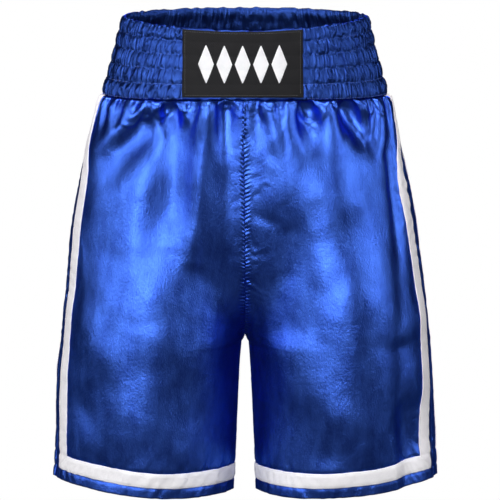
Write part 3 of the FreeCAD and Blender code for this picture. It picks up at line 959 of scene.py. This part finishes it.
def bump_chain(tree, bsdf, layers):
    """Bumps laid over each other: (height socket, depth in metres)."""
    normal = None
    for height, depth in layers:
        inputs = {"Height": height, "Distance": depth, "Strength": 1.0}
        if normal is not None:
            inputs["Normal"] = normal
        normal = add(tree, "Bump", None, inputs).outputs[0]
    feed(tree, bsdf, {"Normal": normal})


def blend_colours(tree, share, first, second):
    """A colour between two, by a share that varies over the surface."""
    n = add(tree, "Mix", {"data_type": "RGBA"}, {0: share, 6: first, 7: second})
    return n.outputs[2]


def remap(tree, value, low, high, to_low, to_high):
    return add(tree, "MapRange", None,
               {"Value": value, 1: low, 2: high, 3: to_low, 4: to_high}).outputs[0]


def wave(tree, place_socket, scale, direction="X", distortion=0.0):
    return add(tree, "TexWave", {"bands_direction": direction},
               {"Vector": place_socket, "Scale": scale, "Distortion": distortion}).outputs["Fac"]


SEAM_PITCH = 4.6 * MM          # of the fine zigzag puckers beside the centre seams


def seam_puckers(tree):
    """Height of the fine zigzag puckers beside a centre seam, from 0 to 1."""
    uv = add(tree, "UVMap", {"uv_map": "seam"}).outputs[0]
    slanted = add(tree, "VectorRotate", {"rotation_type": "Z_AXIS"},
                  {"Vector": uv, "Angle": 0.5}).outputs[0]
    ridges = wave(tree, slanted, TAU / 20 / SEAM_PITCH, "Y", 3.0)
    uneven = remap(tree, noise_node(tree, uv, 70.0, 2.0, 0.5), 0.35, 0.65, 0.2, 1.0)
    away = add(tree, "SeparateXYZ", None, {0: uv}).outputs[0]
    near = remap(tree, away, 0.001, 0.008, 1.0, 0.0)
    ridges = add(tree, "Math", {"operation": "MULTIPLY"}, {0: ridges, 1: uneven}).outputs[0]
    return add(tree, "Math", {"operation": "MULTIPLY"}, {0: ridges, 1: near}).outputs[0]


def satin_look(name, cloud_depth, crumple_depth, painted_shade=1.0, seamed=False):
    """Shiny royal blue satin: warp threads lie lengthwise and the face is cloudy with soft creases."""
    look, tree, bsdf = new_look(name)
    plain = flat_place(tree, 1, 1)
    lengthwise = flat_place(tree, 1.0, 0.8)
    clouds = noise_node(tree, lengthwise, 10.0, 2.5, 0.45)
    patches = noise_node(tree, lengthwise, 26.0, 1.5, 0.4)
    crumples = noise_node(tree, lengthwise, 45.0, 3.0, 0.5)
    threads = noise_node(tree, flat_place(tree, 1.0, 0.4), 600.0, 3.0, 0.7)
    twill = wave(tree, plain, 420.0, "DIAGONAL", 0.6)
    tone = noise_node(tree, flat_place(tree, 1.0, 0.3), 60.0, 5.0, 0.65)
    # The shade factor darkens all of the satin's colours; below 1 it is painted shade.
    dull, clear = opaque((0.028, 0.080, 0.43), painted_shade), opaque((0.049, 0.136, 0.62), painted_shade)
    cloth = blend_colours(tree, remap(tree, tone, 0.35, 0.65, 0, 1), dull, clear)
    worn = remap(tree, threads, 0.45, 0.75, 0.0, 0.45)
    shine = opaque((0.060, 0.155, 0.64), painted_shade)
    feed(tree, bsdf, {"Base Color": blend_colours(tree, worn, cloth, shine),
                      "Roughness": remap(tree, tone, 0.3, 0.7, 0.29, 0.36),
                      "Metallic": 0.97, "Specular Tint": (0.15, 0.3, 1.0, 1),
                      "Sheen Weight": 0.01, "Sheen Roughness": 0.35,
                      "Sheen Tint": (0.25, 0.45, 1.0, 1)})
    layers = [(clouds, cloud_depth), (crumples, crumple_depth), (patches, 0.25 * cloud_depth),
              (threads, 0.0005), (twill, 0.00004)]
    if seamed:
        layers.append((seam_puckers(tree), 0.0012))
    bump_chain(tree, bsdf, layers)
    return look


def woven_look(name, colour, second, ribs, depth, rough, sheen, direction="Y", gloss=0.5):
    """A woven tape, patch or label: ribs one way, yarns across them and a little soiling."""
    look, tree, bsdf = new_look(name)
    plain = flat_place(tree, 1, 1)
    rib = wave(tree, plain, ribs, direction, 0.4)
    yarn = wave(tree, plain, ribs * 1.7, "X" if direction == "Y" else "Y", 0.8)
    fibres = noise_node(tree, plain, 1800.0, 2.0, 0.6)
    patches = noise_node(tree, plain, 45.0, 4.0, 0.6)
    face = blend_colours(tree, remap(tree, patches, 0.3, 0.7, 0, 1), opaque(colour), opaque(second))
    # Painted shade: the colour darkens to 0.72 of itself in the valleys between the ribs.
    between = remap(tree, rib, 0.0, 0.35, 0.35, 0.0)
    feed(tree, bsdf, {"Base Color": blend_colours(tree, between, face, opaque(colour, 0.72)),
                      "Roughness": remap(tree, patches, 0.3, 0.7, rough - 0.05, rough + 0.08),
                      "Specular IOR Level": gloss, "Sheen Weight": sheen, "Sheen Roughness": 0.4})
    bump_chain(tree, bsdf, [(rib, depth), (yarn, 0.5 * depth), (fibres, 0.5 * depth)])
    return look


def thread_look(name, colour, second):
    """Twisted sewing thread: plies across it and fuzz."""
    look, tree, bsdf = new_look(name)
    plain = flat_place(tree, 1, 1)
    plies = wave(tree, plain, 500.0, "DIAGONAL", 0.3)
    fuzz = noise_node(tree, plain, 3000.0, 2.0, 0.6)
    # Painted shade: the second, darker colour lies in the grooves between the plies.
    feed(tree, bsdf, {"Base Color": blend_colours(tree, plies, opaque(second), opaque(colour)),
                      "Roughness": remap(tree, fuzz, 0.3, 0.7, 0.4, 0.6), "Sheen Weight": 0.3})
    bump_chain(tree, bsdf, [(plies, 0.00008), (fuzz, 0.00004)])
    return look


SATIN = satin_look("satin_blue", 0.009, 0.0004, 1.0, True)
# The band is the same satin as the legs, its colours darkened to 0.42 of theirs: painted shade for the shade
# among its gathers.
BAND_SATIN_PAINTED_SHADE = satin_look("satin_blue_shirred_painted_shade", 0.001, 0.0005, 0.42)
# Each woven look has two colours, then its ribs, their depth in metres, roughness and sheen.
# The side and hem tapes are one white tape; the hem's copy is painted lighter and the side's darker, as
# painted light and shade.
SIDE_TAPE = woven_look("tape_white_side", (0.88, 0.86, 0.88), (0.78, 0.76, 0.79), 420.0, 0.00012, 0.42, 0.2)
HEM_TAPE_PAINTED_LIGHT = woven_look("tape_white_hem_painted_light", (0.90, 0.89, 0.90), (0.82, 0.81, 0.83), 420.0, 0.00012, 0.42, 0.2,
                      "X")
PATCH = woven_look("patch_black", (0.006, 0.006, 0.007), (0.010, 0.010, 0.011), 300.0, 0.00016, 0.6, 0.01,
                   "DIAGONAL", 0.15)
EMBROIDERY = woven_look("motif_white", (0.97, 0.97, 0.98), (0.90, 0.90, 0.92), 480.0, 0.00022, 0.38, 0.25)
ELASTIC = woven_look("elastic_white", (0.75, 0.75, 0.74), (0.66, 0.66, 0.64), 160.0, 0.0003, 0.7, 0.1, "X")
LABEL = woven_look("label_white", (0.84, 0.84, 0.83), (0.78, 0.78, 0.77), 500.0, 0.00008, 0.4, 0.1)
OVERLOCK = woven_look("seam_overlock", (0.015, 0.05, 0.32), (0.010, 0.04, 0.26), 90.0, 0.0005, 0.6, 0.2)
THREAD_WHITE = thread_look("thread_white", (0.88, 0.87, 0.88), (0.62, 0.61, 0.64))
THREAD_BLUE = thread_look("thread_blue", (0.05, 0.16, 0.70), (0.02, 0.07, 0.38))
THREAD_BLACK = thread_look("thread_black", (0.03, 0.03, 0.032), (0.010, 0.010, 0.011))

# ---- putting it together
band = dress(make_band(), BAND_SATIN_PAINTED_SHADE, ["waistband_casing"])
elastic = dress(make_elastic(), ELASTIC, ["waistband_elastic"])
dress(make_row_stitches(), THREAD_BLUE, ["waistband_row_stitching"])
patch = dress(make_patch(), PATCH, ["waist_patch"])
dress(make_patch_stitches(), THREAD_BLACK, ["patch_stitching"])
dress(make_emblem(), EMBROIDERY, ["patch_motif"])
label = dress(make_label(), LABEL, ["care_label"])

UPPER, LOWER = slice(8, FINE_CROTCH + 1), slice(FINE_CROTCH, None)
ALLOWANCE = 4                  # grid columns, about 6 mm
for half, (word, side) in enumerate(SIDES):
    leg = (word, side)
    flat = np.stack([FROM_SIDE + side * 0.8, FROM_HEM], -1)
    for facing, sign, columns in (("front", 1, slice(0, FINE_SEAM + 1)),
                                  ("back", -1, slice(FINE_SEAM, None))):
        cloth, outward = CLOTH[half][:, columns], NORMALS[half][:, columns]
        from_centre = FROM_FRONT if sign > 0 else FROM_BACK
        seam = np.stack([from_centre, FROM_TOP + 0.5 * SEAM_PITCH * half], -1)
        panel = cloth_shell(f"{facing}_panel_{word}", cloth, cloth - outward * CLOTH_THICK,
                            flat[:, columns] + (0, 1.7 * sign), side < 0, seam[:, columns])
        dress(panel, SATIN, split_nodes(f"{facing}_panel", word), leg)
        side_tape = make_tape(f"side_tape_{facing}_{word}", half, side * sign, side_tape_place, sign, 330)
        dress(side_tape, SIDE_TAPE, split_nodes(f"side_tape_{facing}", word), leg)
        hem_tape = make_tape(f"hem_band_{facing}_{word}", half, -side * sign, hem_tape_place, sign, 170)
        dress(hem_tape, HEM_TAPE_PAINTED_LIGHT, [f"hem_tape_{facing}_{word}"], leg)
    side_threads = make_tape_threads(half, f"side_tape_threads_{word}", side_tape_place, 900)
    dress(side_threads, THREAD_WHITE, split_nodes("side_tape_stitching", word), leg)
    hem_threads = make_tape_threads(half, f"hem_tape_threads_{word}", hem_tape_place, 700)
    dress(hem_threads, THREAD_WHITE, [f"hem_tape_stitching_{word}"], leg)
    columns = slice(FINE_SEAM, FINE_SEAM + ALLOWANCE + 1)
    allowance = make_allowance(f"side_allowance_{word}", half, side, slice(2, None), columns)
    dress(allowance, OVERLOCK, split_nodes("side_seam_allowance", word), leg)
    columns = slice(-1 - ALLOWANCE, None)
    allowance = make_allowance(f"inseam_allowance_strip_{word}", half, side, LOWER, columns)
    dress(allowance, OVERLOCK, [f"inseam_allowance_{word}"], leg)
for facing, columns, outward in (("front", slice(0, ALLOWANCE + 1), (0, -1, 0)),
                                 ("back", slice(-1 - ALLOWANCE, None), (0, 1, 0))):
    dress(make_allowance(f"rise_allowance_{facing}", 1, 1, UPPER, columns, outward),
          OVERLOCK, [f"rise_seam_allowance_{facing}"])


# ---- studio
MIDDLE = Vector((0, 0, -0.29))
FLOOR_LEVEL = -1.0


def area_light(name, spot, wide, tall, watts):
    """A soft rectangular lamp, sizes in metres, turned to the middle of the shorts."""
    lamp = bpy.data.lights.new(name, "AREA")
    lamp.shape, lamp.size, lamp.size_y, lamp.energy = "RECTANGLE", wide, tall, watts
    holder = bpy.data.objects.new(name, lamp)
    holder.location = spot
    holder.rotation_euler = (MIDDLE - Vector(spot)).to_track_quat("-Z", "Y").to_euler()
    bpy.context.scene.collection.objects.link(holder)


def white_to_camera(tree, kind, shader, end):
    """Plain white to camera rays only. Light and reflections meet the other shader instead."""
    white = add(tree, kind, None, {"Color": (1, 1, 1, 1), "Strength": 1.0})
    rays = add(tree, "LightPath")
    shown = add(tree, "MixShader", None,
                {0: rays.outputs["Is Camera Ray"], 1: shader, 2: white.outputs[0]})
    feed(tree, tree.nodes[end], {"Surface": shown.outputs[0]})


def make_floor():
    """A flat floor, white to the camera and dark to everything else."""
    reach, count = 9.0, 25
    x, y = np.meshgrid(np.linspace(-reach, reach, count), np.linspace(-reach, reach, count))
    points = np.stack([x, y, np.full_like(x, FLOOR_LEVEL)], -1).reshape(-1, 3)
    floor = make_mesh("studio_floor", points, grid_quads(count, count), points[:, :2])
    look, tree, bsdf = new_look("studio_floor")
    feed(tree, bsdf, {"Base Color": (0.05, 0.05, 0.06, 1), "Roughness": 0.9})
    white_to_camera(tree, "Emission", bsdf.outputs[0], "Material Output")
    floor.data.materials.append(look)


def make_world():
    """Surroundings that are white to the camera and light the cloth with a dim violet."""
    world = bpy.data.worlds.new("studio")
    bpy.context.scene.world = world
    world.use_nodes = True
    tree = world.node_tree
    lit = tree.nodes["Background"]
    feed(tree, lit, {"Color": (0.55, 0.28, 1.0, 1), "Strength": 0.035})
    white_to_camera(tree, "Background", lit.outputs[0], "World Output")


area_light("key_front", (-1.5, -5.7, 0.6), 4.0, 2.8, 270)
area_light("key_back", (0.5, 6.0, 1.6), 4.0, 2.0, 230)
area_light("side_left", (-3.8, -1.6, 0.6), 1.2, 2.4, 60)
area_light("side_right", (3.8, -1.6, 0.6), 1.2, 2.4, 60)
area_light("above", (0, -1.3, 2.6), 2.4, 1.2, 95)
make_floor()
make_world()

camera = bpy.data.objects.new("camera", bpy.data.cameras.new("camera"))
bpy.context.scene.collection.objects.link(camera)
DISTANCE, LIFT, FRAME_WIDTH, SENSOR = 4.2, math.radians(10), 0.6, 36
AIM_X, AIM_Z = 6 * MM, -282 * MM
camera.data.sensor_width = SENSOR
camera.data.lens = SENSOR * DISTANCE / FRAME_WIDTH
camera.location = (AIM_X, -DISTANCE * math.cos(LIFT), AIM_Z + DISTANCE * math.sin(LIFT))
camera.rotation_euler = (math.pi / 2 - LIFT, 0, 0)
bpy.context.scene.camera = camera
bpy.context.scene.view_settings.view_transform = "Standard"
